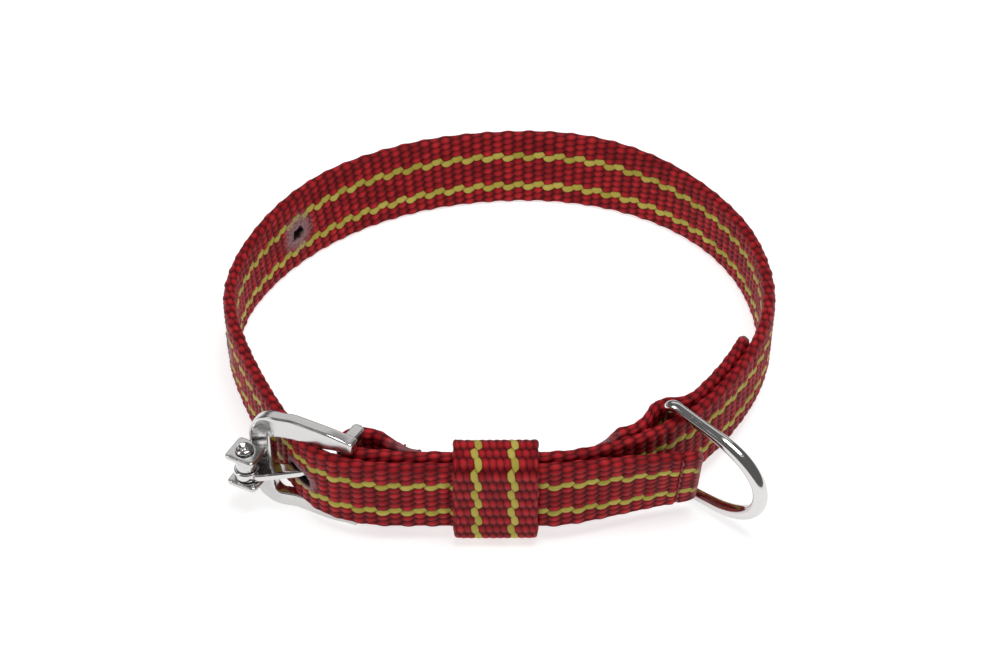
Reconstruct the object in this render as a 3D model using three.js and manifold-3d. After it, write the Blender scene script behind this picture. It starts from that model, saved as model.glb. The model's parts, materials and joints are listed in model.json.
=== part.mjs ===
// Webbing dog collar with a tongue buckle, a sliding keeper and a D-ring.
// Millimetres, +Z up. The collar stands on its lower edge; the origin is at the
// middle of its footprint. -Y is the front, where the buckle and the ring are.
import * as THREE from "three";
import { mergeVertices } from "three/addons/utils/BufferGeometryUtils.js";
import Module from "manifold-3d";

const wasm = await Module();
wasm.setup();

// webbing
const WEB_WIDTH = 20;
const WEB_THICK = 3.2;
const WEB_CHAMFER = 0.55;
const LAYER_GAP = 0.4;
const FRONT_LIFT = 4; // the buckle and the ring hold the front off the ground
const LIFT_START_Y = 22;
const LIFT_END_Y = -42;
const TAIL_LEAN = 12; // degrees, the free tail leans out at the top
const TAIL_LEAN_RUN = 34;
const BACK_LEAN = 14; // degrees, the back of the loop leans out at the top
const BACK_LEAN_RUN = 85;
const BACK_LEAN_EASE = 55;
const BACK = { x: -14, y: 61.5 };
const END_RADIUS = 3;

// straight stretch at the front, where the keeper slides
const TAIL_Y = -66.9;
const INNER_Y = TAIL_Y + WEB_THICK + LAYER_GAP;

// buckle, in its own axes: X from heel bar to toe bar, Y outwards
const HEEL = { x: -34.1, y: -58.6 };
const BUCKLE_TURN = 153;
const HEEL_BAR_R = 1.5;
const WRAP_GAP = 0.4;
const ARM_TALL = 3.4;
const ARM_IN = 4.4;
const ARM_OUT = 7.4;
const ARM_START = -1.4;
const TOE_IN = 19.8;
const TOE_OUT = 24.8;
const TOE_CORNER_R = 7;
const WINDOW_SLACK = 0.6;
const LUG_X = [20.9, 28.6];
const LUG_Y = [6.8, 14.2];
const LUG_THICK = 1.35;
const LUG_LOW_Z = 5.2;
const LUG_HIGH_Z = 13;
const PIN = { x: 25, y: 10.5 };
const PIN_R = 1.7;
const PIN_HEAD_R = 2.2;
const PIN_HEAD_TALL = 0.8;
const RUN_GAP = 0.3;

// tongue
const TONGUE_THICK = 2.4;
const TONGUE_EYE_R = 3.1;
const TONGUE_TURN = 23.3; // degrees, from the buckle's own length towards the neck
const TONGUE_LENGTH = 15.9;
const TONGUE_ROOT = 3;
const NOTCH_FLOOR = 6.1; // the toe bar is thinner where the tongue crosses it
const TONGUE_TIP = 1.7;

// holes along the strap
const HOLE_R = 2.3;
const SLOT_LENGTH = 9.4;
const SLOT_SHIFT = 0.4; // towards the heel bar, so that the tongue swings out
const SLOT_TALL = 5.2;
const HOLE_PITCH = 50.3;
const HOLE_Z = 10;

// D-ring
const RING_WIRE_R = 1.5;
const RING_TALL = 28.4;
const RING_REACH = 28.3;
const RING_CORNER_R = 3;
const RING_ROD_END = 15;
const RING_TAPER = 0.12;
const RING_TURN = -43;
const RING_AT = { x: 41.3, y: -51.6 };
const RING_CLEAR = 0.35;
const RING_SINK = 0.33; // the bends at the bar's ends round off this much of the height
const PATCH_BEFORE = 21;
const PATCH_AFTER = 36;
const PATCH_BULGE_HALF = 10;

// keeper
const KEEPER_WIDTH = 20;
const KEEPER_MID_X = -1.8;
const KEEPER_THICK = 2;
const KEEPER_GAP = 0.35;
const KEEPER_R = 1.1;

// thread rows
const THREAD_THICK = 0.4;
const THREAD_ROW = 1.1;
const THREAD_TALL = 16;
const TAIL_SEAM_INSET = 4;

const red = { color: 0x8e1c22, roughness: 0.75, metalness: 0 };
const threadRed = { color: 0x7a1a1e, roughness: 0.6, metalness: 0 };
const nickel = { color: 0xd8d8d8, roughness: 0.15, metalness: 1 };

const toRad = THREE.MathUtils.degToRad;
const up = new THREE.Vector3(0, 0, 1);

// ---------- solids ----------

function toManifold(geometry) {
  const bare = geometry.clone();
  for (const name of Object.keys(bare.attributes)) {
    if (name !== "position") {
      bare.deleteAttribute(name);
    }
  }
  const merged = mergeVertices(bare, 1e-4);
  const mesh = new wasm.Mesh({
    numProp: 3,
    vertProperties: new Float32Array(merged.attributes.position.array),
    triVerts: new Uint32Array(merged.index.array),
  });
  return new wasm.Manifold(mesh);
}

function toGeometry(manifold) {
  const mesh = manifold.getMesh();
  const geometry = new THREE.BufferGeometry();
  const position = new THREE.BufferAttribute(new Float32Array(mesh.vertProperties), 3);
  geometry.setAttribute("position", position);
  geometry.setIndex(new THREE.BufferAttribute(new Uint32Array(mesh.triVerts), 1));
  geometry.computeVertexNormals();
  return geometry;
}

function part(name, geometry, look) {
  const mesh = new THREE.Mesh(geometry, new THREE.MeshStandardMaterial(look));
  mesh.name = name;
  return mesh;
}

function box(x, y, z) {
  const size = [x[1] - x[0], y[1] - y[0], z[1] - z[0]];
  const geometry = new THREE.BoxGeometry(...size);
  return geometry.translate((x[0] + x[1]) / 2, (y[0] + y[1]) / 2, (z[0] + z[1]) / 2);
}

function post(radius, z0, z1, x, y, sides = 32) {
  const geometry = new THREE.CylinderGeometry(radius, radius, z1 - z0, sides);
  return geometry.rotateX(Math.PI / 2).translate(x, y, (z0 + z1) / 2);
}

// Extrudes an outline drawn in X and Y upwards from z0 to z1.
function prism(shape, z0, z1, bevel = 0, curveSegments = 10) {
  const geometry = new THREE.ExtrudeGeometry(shape, {
    depth: z1 - z0 - 2 * bevel,
    bevelEnabled: bevel > 0,
    bevelThickness: bevel,
    bevelSize: bevel,
    bevelOffset: -bevel,
    bevelSegments: 2,
    curveSegments,
  });
  return geometry.translate(0, 0, z0 + bevel);
}

// Joins rings of points, each listed anticlockwise seen from ahead, into one skin.
function skin(rings, closed) {
  const count = rings[0].length;
  const positions = rings.flat().flatMap((point) => [point.x, point.y, point.z]);
  const index = [];
  const last = closed ? rings.length : rings.length - 1;
  for (let ring = 0; ring < last; ring += 1) {
    const next = (ring + 1) % rings.length;
    for (let side = 0; side < count; side += 1) {
      const turn = (side + 1) % count;
      const corners = [ring * count + side, ring * count + turn, next * count + turn, next * count + side];
      index.push(corners[0], corners[1], corners[2], corners[0], corners[2], corners[3]);
    }
  }
  if (!closed) {
    const end = (rings.length - 1) * count;
    for (let side = 1; side < count - 1; side += 1) {
      index.push(0, side + 1, side);
      index.push(end, end + side, end + side + 1);
    }
  }
  const geometry = new THREE.BufferGeometry();
  geometry.setAttribute("position", new THREE.Float32BufferAttribute(positions, 3));
  geometry.setIndex(index);
  geometry.computeVertexNormals();
  return geometry;
}

// ---------- the strap's route ----------

// The middle of the webbing seen from above: free end, over the buckle's heel bar,
// through its window, round the neck, back under the free end and round the heel bar.
function strapRoute() {
  const wrapR = HEEL_BAR_R + WRAP_GAP + WEB_THICK / 2;
  const points = [
    [45.8, -60.7], [36.5, -62.3], [25, -64.6], [17, -66.2], [12, TAIL_Y], [6, TAIL_Y], [-2, TAIL_Y],
    [-10, TAIL_Y], [-18, TAIL_Y], [-24, TAIL_Y], [-29.5, -66.7], [-35.3, -65.6], [-40.5, -63.6],
    [-44.4, -61], [-47.5, -57.4], [-50.2, -53.3], [-52.8, -49.2], [-55.2, -44.9], [-60.1, -34.7],
    [-64.6, -23.4], [-68.1, -12], [-69.6, 0], [-68.1, 12], [-63.9, 23.2], [-58, 33.3], [-50.6, 42.2],
    [-41.8, 49.6], [-31.7, 55.4], [-21.3, 59.6], [-10.8, 62.2], [0, 63.5], [11.3, 63.6], [22.7, 61.8],
    [33.5, 57.9], [43.5, 51.8], [52.3, 43.7], [59.4, 34.1], [64.5, 23.2], [67.1, 11.8], [67.7, 0],
    [66.3, -11], [63.1, -21.5], [58.6, -31], [53.1, -39.6], [47.6, -46.2], [41.3, -51.6], [33.5, -56.4],
    [24.5, -60.3], [16, -62.7], [10, INNER_Y], [5, INNER_Y], [-1, INNER_Y], [-8, INNER_Y], [-16, INNER_Y],
    [-24, -63.1], [HEEL.x + 3, HEEL.y - wrapR - 0.2],
  ];
  for (let turn = 0; turn <= 180; turn += 30) {
    const angle = toRad(-90 - turn);
    points.push([HEEL.x + wrapR * Math.cos(angle), HEEL.y + wrapR * Math.sin(angle)]);
  }
  points.push([HEEL.x + 3.6, HEEL.y + wrapR - 0.7]);
  points.push([-26.6, INNER_Y + 4.9]);
  points.push([-23, INNER_Y + 3.75]);
  points.push([-19.5, INNER_Y + WEB_THICK + LAYER_GAP]);
  const vectors = points.map(([x, y]) => new THREE.Vector3(x, y, 0));
  const curve = new THREE.CatmullRomCurve3(vectors, false, "centripetal");
  curve.arcLengthDivisions = 3000;
  return curve;
}

const route = strapRoute();
const routeLength = route.getLength();

function lift(y) {
  return FRONT_LIFT * THREE.MathUtils.smoothstep(-y, -LIFT_START_Y, -LIFT_END_Y);
}

// Place, heading and outward side of the strap's middle at a length along it.
function along(length) {
  const u = THREE.MathUtils.clamp(length / routeLength, 0, 1);
  const at = route.getPointAt(u);
  const ahead = route.getTangentAt(u);
  const out = new THREE.Vector3().crossVectors(up, ahead).normalize();
  return { at, ahead, out, length };
}

function lengthNear(x, y, from, to) {
  let best = from;
  let bestGap = Infinity;
  for (let length = from; length <= to; length += 0.1) {
    const { at } = along(length);
    const gap = Math.hypot(at.x - x, at.y - y);
    if (gap < bestGap) {
      bestGap = gap;
      best = length;
    }
  }
  return best;
}

// Lengths along the strap that follow its bends: close together where it turns sharply.
function stops(from, to, maxStep, maxTurn) {
  const kept = [from];
  let last = along(from);
  for (let length = from + 0.25; length < to - 0.3; length += 0.25) {
    const here = along(length);
    if (length - last.length >= maxStep || here.ahead.angleTo(last.ahead) > toRad(maxTurn)) {
      kept.push(length);
      last = here;
    }
  }
  kept.push(to);
  return kept;
}

// How far a rounded corner cuts in at a distance from the end.
function cornerCut(distance, radius) {
  if (distance >= radius) {
    return 0;
  }
  return radius - Math.sqrt(radius * radius - (radius - distance) ** 2);
}

// One band of webbing along the route, moved sideways by inset(length).
function band(lengths, options) {
  const { thick, inset = () => 0, lean = () => 0, startCut = 0, endCut = 0 } = options;
  const half = thick / 2;
  const bevel = WEB_CHAMFER;
  const rings = lengths.map((length) => {
    const { at, out } = along(length);
    const base = lift(at.y);
    const fromStart = cornerCut(length - lengths[0], startCut);
    const fromEnd = cornerCut(lengths[lengths.length - 1] - length, endCut);
    const low = base + Math.max(fromStart, fromEnd);
    const high = base + WEB_WIDTH - Math.max(fromStart, fromEnd);
    const section = [
      [-half + bevel, low], [half - bevel, low], [half, low + bevel], [half, high - bevel],
      [half - bevel, high], [-half + bevel, high], [-half, high - bevel], [-half, low + bevel],
    ];
    const slope = Math.tan(toRad(lean(length)));
    return section.map(([side, z]) => {
      const shift = side - inset(length) + (z - base - WEB_WIDTH / 2) * slope;
      return new THREE.Vector3(at.x + out.x * shift, at.y + out.y * shift, z);
    });
  });
  return skin(rings, false);
}

// ---------- landmarks along the strap ----------

const buckleAxis = new THREE.Vector3(Math.cos(toRad(BUCKLE_TURN)), Math.sin(toRad(BUCKLE_TURN)), 0);
const buckleOut = new THREE.Vector3().crossVectors(up, buckleAxis);

function buckleToPlan(x, y) {
  return new THREE.Vector3(HEEL.x, HEEL.y, 0).addScaledVector(buckleAxis, x).addScaledVector(buckleOut, y);
}

// The tongue's hole is where its line crosses the strap.
function tongueHoleLength() {
  const pin = buckleToPlan(PIN.x, PIN.y);
  const turn = toRad(BUCKLE_TURN + 180 + TONGUE_TURN);
  const line = new THREE.Vector3(Math.cos(turn), Math.sin(turn), 0);
  let best = 0;
  let bestGap = Infinity;
  for (let length = 80; length < 150; length += 0.05) {
    const offset = along(length).at.clone().sub(pin);
    const gap = Math.abs(offset.x * line.y - offset.y * line.x);
    if (gap < bestGap && offset.dot(line) > 0) {
      bestGap = gap;
      best = length;
    }
  }
  return best;
}

const holeA = tongueHoleLength();
const ringLength = lengthNear(RING_AT.x, RING_AT.y, routeLength - 130, routeLength - 60);
const ringStop = along(ringLength);
const ringInset = WEB_THICK / 2 + RING_CLEAR + RING_WIRE_R;
const ringBar = ringStop.at.clone().addScaledVector(ringStop.out, -ringInset);

// ---------- webbing parts ----------

const backLength = lengthNear(BACK.x, BACK.y, 150, 350);

function strapLean(length) {
  const fromBack = BACK_LEAN_RUN - Math.abs(length - backLength);
  const tail = TAIL_LEAN * THREE.MathUtils.smoothstep(TAIL_LEAN_RUN - length, 0, TAIL_LEAN_RUN);
  return tail + BACK_LEAN * THREE.MathUtils.smoothstep(fromBack, 0, BACK_LEAN_EASE);
}

// A hole straight through the band at a length along it.
function punch(length, wide, tall, height) {
  const { at, ahead, out } = along(length);
  const spread = (wide - tall) / 2;
  const radius = tall / 2;
  const outline = new THREE.Shape();
  outline.absarc(spread, 0, radius, -Math.PI / 2, Math.PI / 2, false);
  outline.absarc(-spread, 0, radius, Math.PI / 2, Math.PI * 1.5, false);
  const cutter = new THREE.ExtrudeGeometry(outline, { depth: 10, bevelEnabled: false, curveSegments: 12 });
  cutter.translate(0, 0, -5);
  const frame = new THREE.Matrix4().makeBasis(ahead.clone().negate(), up, out);
  cutter.applyMatrix4(frame);
  return toManifold(cutter.translate(at.x, at.y, lift(at.y) + height));
}

function makeStrap() {
  const tailStops = [0, 0.3, 0.9, 1.8];
  const lengths = tailStops.concat(stops(END_RADIUS, routeLength, 4, 5));
  const plain = band(lengths, {
    thick: WEB_THICK,
    lean: strapLean,
    startCut: END_RADIUS,
  });
  let solid = toManifold(plain);
  solid = solid.subtract(punch(holeA - SLOT_SHIFT, SLOT_LENGTH, SLOT_TALL, HOLE_Z - 1));
  for (const step of [1, 2]) {
    solid = solid.subtract(punch(holeA + step * HOLE_PITCH, 2 * HOLE_R, 2 * HOLE_R, HOLE_Z));
  }
  return part("strap", toGeometry(solid), red);
}

function makeRingPatch() {
  const closeInset = WEB_THICK + LAYER_GAP + 0.15;
  const barInset = 2 * ringInset;
  const inset = (length) => {
    const away = Math.min(Math.abs(length - ringLength) / PATCH_BULGE_HALF, 1);
    return closeInset + (barInset - closeInset) * (0.5 + 0.5 * Math.cos(Math.PI * away));
  };
  const from = ringLength - PATCH_AFTER;
  const to = ringLength + PATCH_BEFORE;
  return part("ring_patch", band(stops(from, to, 2, 4), { thick: WEB_THICK, inset }), red);
}

function roundedRect(x0, x1, y0, y1, radius) {
  const shape = new THREE.Shape();
  shape.absarc(x1 - radius, y1 - radius, radius, 0, Math.PI / 2, false);
  shape.absarc(x0 + radius, y1 - radius, radius, Math.PI / 2, Math.PI, false);
  shape.absarc(x0 + radius, y0 + radius, radius, Math.PI, Math.PI * 1.5, false);
  shape.absarc(x1 - radius, y0 + radius, radius, Math.PI * 1.5, Math.PI * 2, false);
  return shape;
}

function makeKeeper() {
  const innerY = [TAIL_Y - WEB_THICK / 2 - KEEPER_GAP, INNER_Y + WEB_THICK / 2 + KEEPER_GAP];
  const innerZ = [FRONT_LIFT - KEEPER_GAP, FRONT_LIFT + WEB_WIDTH + KEEPER_GAP];
  const grow = KEEPER_THICK;
  const outer = roundedRect(
    innerY[0] - grow, innerY[1] + grow, innerZ[0] - grow, innerZ[1] + grow, KEEPER_R + grow,
  );
  const inner = roundedRect(innerY[0], innerY[1], innerZ[0], innerZ[1], 0.4);
  outer.holes.push(inner);
  const geometry = prism(outer, KEEPER_MID_X - KEEPER_WIDTH / 2, KEEPER_MID_X + KEEPER_WIDTH / 2, 0, 5);
  // drawn in Y and Z, extruded along X
  const frame = new THREE.Matrix4().makeBasis(new THREE.Vector3(0, 1, 0), up, new THREE.Vector3(1, 0, 0));
  return part("keeper", geometry.applyMatrix4(frame), red);
}

// A row of sewing thread lying on a face of the webbing.
function threadRow(name, length, sideways, tall = THREAD_TALL, lean = 0) {
  const { at, out } = along(length);
  const geometry = new THREE.BoxGeometry(THREAD_ROW, THREAD_THICK, tall, 2, 1, 6);
  const mesh = part(name, geometry, threadRed);
  const base = lift(at.y) + WEB_WIDTH / 2;
  mesh.position.set(at.x + out.x * sideways, at.y + out.y * sideways, base);
  mesh.rotation.order = "ZXY";
  mesh.rotation.z = Math.atan2(out.y, out.x) - Math.PI / 2;
  mesh.rotation.x = -toRad(lean);
  return mesh;
}

// ---------- buckle ----------

function makeBuckleFrame() {
  const low = -WINDOW_SLACK;
  const high = WEB_WIDTH + WINDOW_SLACK;
  const bottom = low - ARM_TALL;
  const top = high + ARM_TALL;
  // the frame's face, drawn in X and Z
  const face = new THREE.Shape();
  face.moveTo(ARM_START, bottom);
  face.lineTo(TOE_OUT - TOE_CORNER_R, bottom);
  face.absarc(TOE_OUT - TOE_CORNER_R, bottom + TOE_CORNER_R, TOE_CORNER_R, -Math.PI / 2, 0, false);
  face.absarc(TOE_OUT - TOE_CORNER_R, top - TOE_CORNER_R, TOE_CORNER_R, 0, Math.PI / 2, false);
  face.lineTo(ARM_START, top);
  face.lineTo(ARM_START, high);
  face.lineTo(TOE_IN - 2, high);
  face.absarc(TOE_IN - 2, high - 2, 2, Math.PI / 2, 0, true);
  face.absarc(TOE_IN - 2, low + 2, 2, 0, -Math.PI / 2, true);
  face.lineTo(ARM_START, low);
  face.closePath();
  const plate = prism(face, -ARM_OUT, -ARM_IN, 0.4, 8);
  // X stays, drawn Y becomes Z, the extrusion runs against Y
  const stand = new THREE.Matrix4().makeBasis(
    new THREE.Vector3(1, 0, 0), up, new THREE.Vector3(0, -1, 0),
  );
  let solid = toManifold(plate.applyMatrix4(stand));
  // the heel bar sits nearer the neck, on a bent lug at each arm's end
  solid = solid.add(toManifold(post(HEEL_BAR_R, bottom + 0.4, top - 0.4, 0, 0, 24)));
  const lug = new THREE.Shape();
  lug.moveTo(-HEEL_BAR_R, -0.9);
  lug.lineTo(HEEL_BAR_R * 0.9, -HEEL_BAR_R);
  lug.lineTo(1.8, ARM_IN + 0.4);
  lug.lineTo(1.8, ARM_OUT - 0.7);
  lug.lineTo(ARM_START + 0.3, ARM_OUT - 0.7);
  lug.closePath();
  for (const z of [bottom, high]) {
    solid = solid.add(toManifold(prism(lug, z + 0.1, z + ARM_TALL - 0.1, 0.3)));
  }
  // two plates outside the toe bar hold the pin
  for (const z of [LUG_LOW_Z, LUG_HIGH_Z]) {
    const plateShape = roundedRect(LUG_X[0], LUG_X[1], LUG_Y[0], LUG_Y[1], 0.7);
    const flat = toManifold(prism(plateShape, z, z + LUG_THICK, 0.25, 3));
    const bore = toManifold(post(PIN_R + RUN_GAP, z - 1, z + LUG_THICK + 1, PIN.x, PIN.y));
    solid = solid.add(flat.subtract(bore));
  }
  const notchLow = LUG_LOW_Z + LUG_THICK;
  const notchHigh = notchLow + TONGUE_THICK + 0.7;
  const notch = box([TOE_IN - 1, TOE_OUT + 1], [NOTCH_FLOOR, ARM_OUT + 2], [notchLow, notchHigh]);
  solid = solid.subtract(toManifold(notch));
  return part("buckle_frame", toGeometry(solid), nickel);
}

function makeHingePin() {
  const bottom = LUG_LOW_Z - RUN_GAP;
  const top = LUG_HIGH_Z + LUG_THICK + RUN_GAP;
  const profile = [
    [0, bottom - PIN_HEAD_TALL], [PIN_HEAD_R * 0.6, bottom - PIN_HEAD_TALL * 0.85],
    [PIN_HEAD_R, bottom - 0.2],
    [PIN_HEAD_R, bottom], [PIN_R, bottom], [PIN_R, top], [PIN_HEAD_R, top], [PIN_HEAD_R, top + 0.2],
    [PIN_HEAD_R * 0.6, top + PIN_HEAD_TALL * 0.85], [PIN_HEAD_R * 0.3, top + PIN_HEAD_TALL * 0.6],
    [0, top + PIN_HEAD_TALL * 0.5],
  ];
  const geometry = new THREE.LatheGeometry(profile.map(([r, z]) => new THREE.Vector2(r, z)), 28);
  geometry.rotateX(Math.PI / 2).translate(PIN.x, PIN.y, 0);
  return part("hinge_pin", geometry, nickel);
}

function makeTongue() {
  const low = LUG_LOW_Z + LUG_THICK + RUN_GAP;
  const high = low + TONGUE_THICK;
  const shank = new THREE.Shape();
  const tipR = TONGUE_TIP / 2;
  shank.moveTo(0, -TONGUE_ROOT / 2);
  shank.lineTo(TONGUE_LENGTH - tipR, -tipR);
  shank.absarc(TONGUE_LENGTH - tipR, 0, tipR, -Math.PI / 2, Math.PI / 2, false);
  shank.lineTo(0, TONGUE_ROOT / 2);
  shank.closePath();
  const eye = new THREE.Shape();
  eye.absarc(0, 0, TONGUE_EYE_R, 0, Math.PI * 2, false);
  let solid = toManifold(prism(shank, low, high, 0.35, 6));
  solid = solid.add(toManifold(prism(eye, low, high, 0.35, 20)));
  solid = solid.subtract(toManifold(post(PIN_R + RUN_GAP, low - 1, high + 1, 0, 0)));
  const mesh = part("tongue", toGeometry(solid), nickel);
  mesh.position.set(PIN.x, PIN.y, 0);
  mesh.rotation.z = toRad(180 + TONGUE_TURN);
  return mesh;
}

function makeBuckle() {
  const buckle = new THREE.Group();
  buckle.position.set(HEEL.x, HEEL.y, FRONT_LIFT);
  buckle.rotation.z = toRad(BUCKLE_TURN);
  buckle.add(makeBuckleFrame(), makeHingePin(), makeTongue());
  return buckle;
}

// ---------- D-ring ----------

// The wire's middle line in the ring's own plane: u away from the bar, v upwards.
function ringLine() {
  const half = RING_TALL / 2 - RING_WIRE_R;
  const r = RING_CORNER_R;
  const rodEnd = half - RING_TAPER * RING_ROD_END;
  const path = new THREE.CurvePath();
  const corner = (v) => new THREE.Vector2(0, v);
  path.add(new THREE.LineCurve(corner(-half + r), corner(half - r)));
  path.add(new THREE.QuadraticBezierCurve(
    corner(half - r), corner(half), new THREE.Vector2(r, half - RING_TAPER * r),
  ));
  path.add(new THREE.LineCurve(
    new THREE.Vector2(r, half - RING_TAPER * r), new THREE.Vector2(RING_ROD_END, rodEnd),
  ));
  const bowReach = RING_REACH - RING_ROD_END;
  const bowTop = new THREE.Vector2(RING_ROD_END + bowReach * 0.52, rodEnd - RING_TAPER * bowReach * 0.52);
  path.add(new THREE.CubicBezierCurve(
    new THREE.Vector2(RING_ROD_END, rodEnd), bowTop,
    new THREE.Vector2(RING_REACH, rodEnd * 0.58), new THREE.Vector2(RING_REACH, 0),
  ));
  return path;
}

function makeRing() {
  const half = ringLine();
  const upper = [];
  const [bar, corner, rod, bow] = half.curves;
  for (const [curve, steps] of [[corner, 6], [rod, 4], [bow, 12]]) {
    for (let step = 0; step < steps; step += 1) {
      upper.push({ point: curve.getPoint(step / steps), ahead: curve.getTangent(step / steps) });
    }
  }
  upper.push({ point: bow.getPoint(1), ahead: bow.getTangent(1) });
  const lower = upper.slice(0, -1).reverse().map(({ point, ahead }) => ({
    point: new THREE.Vector2(point.x, -point.y),
    ahead: new THREE.Vector2(-ahead.x, ahead.y),
  }));
  const middle = [0.25, 0.5, 0.75].map((t) => ({ point: bar.getPoint(t), ahead: bar.getTangent(t) }));
  const stopsOnWire = upper.concat(lower, middle);
  const sides = 12;
  const rings = stopsOnWire.map(({ point, ahead }) => {
    const across = new THREE.Vector3(-ahead.y, 0, ahead.x);
    const side = new THREE.Vector3(0, -1, 0);
    const ring = [];
    for (let step = 0; step < sides; step += 1) {
      const angle = step / sides * Math.PI * 2;
      const at = new THREE.Vector3(point.x, 0, point.y);
      at.addScaledVector(across, RING_WIRE_R * Math.cos(angle));
      at.addScaledVector(side, RING_WIRE_R * Math.sin(angle));
      ring.push(at);
    }
    return ring;
  });
  const mesh = part("d_ring", skin(rings, true), nickel);
  mesh.position.set(ringBar.x, ringBar.y, RING_TALL / 2 - RING_SINK);
  mesh.rotation.z = toRad(RING_TURN);
  return mesh;
}

// ---------- the collar ----------

const collar = new THREE.Group();
const face = WEB_THICK / 2 + RUN_GAP + THREAD_THICK / 2 + 0.05;
const patchFace = WEB_THICK + LAYER_GAP + 0.25 + face;
collar.add(makeStrap());
collar.add(makeRingPatch());
collar.add(makeKeeper());
collar.add(makeBuckle());
collar.add(makeRing());
collar.add(threadRow("tail_backstitch", TAIL_SEAM_INSET, face + 0.1, 15, strapLean(TAIL_SEAM_INSET)));
collar.add(threadRow("ring_seam_front", ringLength + PATCH_BEFORE - 5, -patchFace));
collar.add(threadRow("ring_seam_side", ringLength - PATCH_BULGE_HALF - 3, -patchFace));
collar.add(threadRow("patch_end_seam", ringLength - PATCH_AFTER + 4, -patchFace));
collar.add(threadRow("buckle_seam", routeLength - 4, face));

const footprint = new THREE.Box3().setFromObject(collar, true);
const middle = footprint.getCenter(new THREE.Vector3());
collar.position.set(-middle.x, -middle.y, 0);

export default collar;
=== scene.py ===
import json
import math

import bmesh
import bpy
import numpy as np
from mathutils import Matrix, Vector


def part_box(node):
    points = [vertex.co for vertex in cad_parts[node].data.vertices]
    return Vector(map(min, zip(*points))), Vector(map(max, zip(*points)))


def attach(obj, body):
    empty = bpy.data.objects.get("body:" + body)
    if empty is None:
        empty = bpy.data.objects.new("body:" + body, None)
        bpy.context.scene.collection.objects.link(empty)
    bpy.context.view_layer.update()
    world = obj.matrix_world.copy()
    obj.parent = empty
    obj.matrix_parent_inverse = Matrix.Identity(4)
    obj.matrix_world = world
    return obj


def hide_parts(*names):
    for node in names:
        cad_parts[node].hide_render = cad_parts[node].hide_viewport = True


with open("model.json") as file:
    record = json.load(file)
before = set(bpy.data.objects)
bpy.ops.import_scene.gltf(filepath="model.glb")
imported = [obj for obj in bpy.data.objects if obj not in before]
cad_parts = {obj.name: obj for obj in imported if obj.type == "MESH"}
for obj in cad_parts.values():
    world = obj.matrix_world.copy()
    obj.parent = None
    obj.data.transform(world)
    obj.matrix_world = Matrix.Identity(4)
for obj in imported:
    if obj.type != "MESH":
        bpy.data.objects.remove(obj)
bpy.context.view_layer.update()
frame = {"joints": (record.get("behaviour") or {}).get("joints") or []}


# ---------- camera, floor and light ----------
# A product table: a plain white sheet under the collar, one wide soft light behind it, a
# smaller one above and one at the left, which draw the bright bands in the plated metal.

CAMERA_AT = (0.0001, -0.4183, 0.3836)
CAMERA_DOWN = 42.1  # degrees below the horizon
CAMERA_LENS = 78.4
SENSOR = 36

camera = bpy.data.objects.new("camera", bpy.data.cameras.new("camera"))
bpy.context.scene.collection.objects.link(camera)
camera.location = CAMERA_AT
camera.rotation_euler = (math.radians(90 - CAMERA_DOWN), 0, 0)
camera.data.lens = CAMERA_LENS
camera.data.sensor_width = SENSOR
camera.data.clip_start = 0.01
bpy.context.scene.camera = camera
bpy.context.scene.view_settings.view_transform = "Standard"


def soft_light(name, at, aim, size, watts):
    lamp = bpy.data.lights.new(name, "AREA")
    lamp.shape = "RECTANGLE"
    lamp.size = size[0]
    lamp.size_y = size[1]
    lamp.energy = watts
    light = bpy.data.objects.new(name, lamp)
    bpy.context.scene.collection.objects.link(light)
    light.location = at
    look = [aim[axis] - at[axis] for axis in range(3)]
    light.rotation_mode = "QUATERNION"
    light.rotation_quaternion = Vector(look).to_track_quat("-Z", "Y")


soft_light("back_softbox", (0, 0.95, 0.85), (0, 0, 0.01), (1.5, 0.7), 2.3)
soft_light("top_light", (0.1, -0.1, 0.8), (0, 0, 0), (0.45, 0.35), 3.5)
soft_light("left_light", (-0.6, -0.2, 0.4), (0, 0, 0.01), (0.2, 0.45), 0.8)

world = bpy.data.worlds.new("studio")
bpy.context.scene.world = world
world.use_nodes = True
world.node_tree.nodes["Background"].inputs["Color"].default_value = (1, 0.99, 0.98, 1)
world.node_tree.nodes["Background"].inputs["Strength"].default_value = 0.13

bpy.ops.mesh.primitive_plane_add(size=6, location=(0, 0, -0.0002))
floor = bpy.context.object
floor.name = "floor"
paper = bpy.data.materials.new("paper")
paper.use_nodes = True
paper_skin = paper.node_tree.nodes["Principled BSDF"]
paper_skin.inputs["Base Color"].default_value = (0.55, 0.55, 0.55, 1)
paper_skin.inputs["Roughness"].default_value = 0.9
paper_skin.inputs["Emission Color"].default_value = (1, 1, 1, 1)
paper_skin.inputs["Emission Strength"].default_value = 0.72
floor.data.materials.append(paper)


# ---------- strap ----------
# One length of coarse two-faced webbing, woven in plain weave from thick crimson warp yarns
# with two thin yellow stripes. One end is turned round the buckle's heel bar and sewn down.
# The free end is cut, heat-sealed and back-stitched, and the strap's holes are melted through.

MM = 0.001
WIDTH = 20.0
THICK = 3.2
YARN = 0.85  # from one warp yarn to the next
RIB = 2.87  # from one weft rib to the next
FLOAT_LONG = 1.95  # half the length of a yarn's float over a rib
FLOAT_WIDE = 1.0
FLOAT_SLANT = -0.12  # the yarns' twist turns each float a little
FLOAT_ROUND = 0.6  # how full a float's back is
WEAVE_DEPTH = 0.78
WEAVE_LEVEL = 0.9  # the share of the relief that lies below the plain section
EDGE_BAND = 1.7  # the selvedge, where the weave is pulled tighter
EDGE_SCALLOP = 0.12
SEAL_RUN = 1.2  # how far a cut end is melted
LIP_SIZE = 0.55
LIP_OUT = 0.3
BEAD_AT = 0.55  # the raised bead round a hole, from the hole's edge
BEAD_HALF = 0.5
BEAD_TALL = 0.32
SWOLLEN = 3.4  # the webbing's thickness over its floats
STEP = 0.41  # the mesh's spacing along a band
FACE_CELLS = 62  # mesh cells across each face
EDGE_CELLS = 16  # and round each edge
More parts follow.
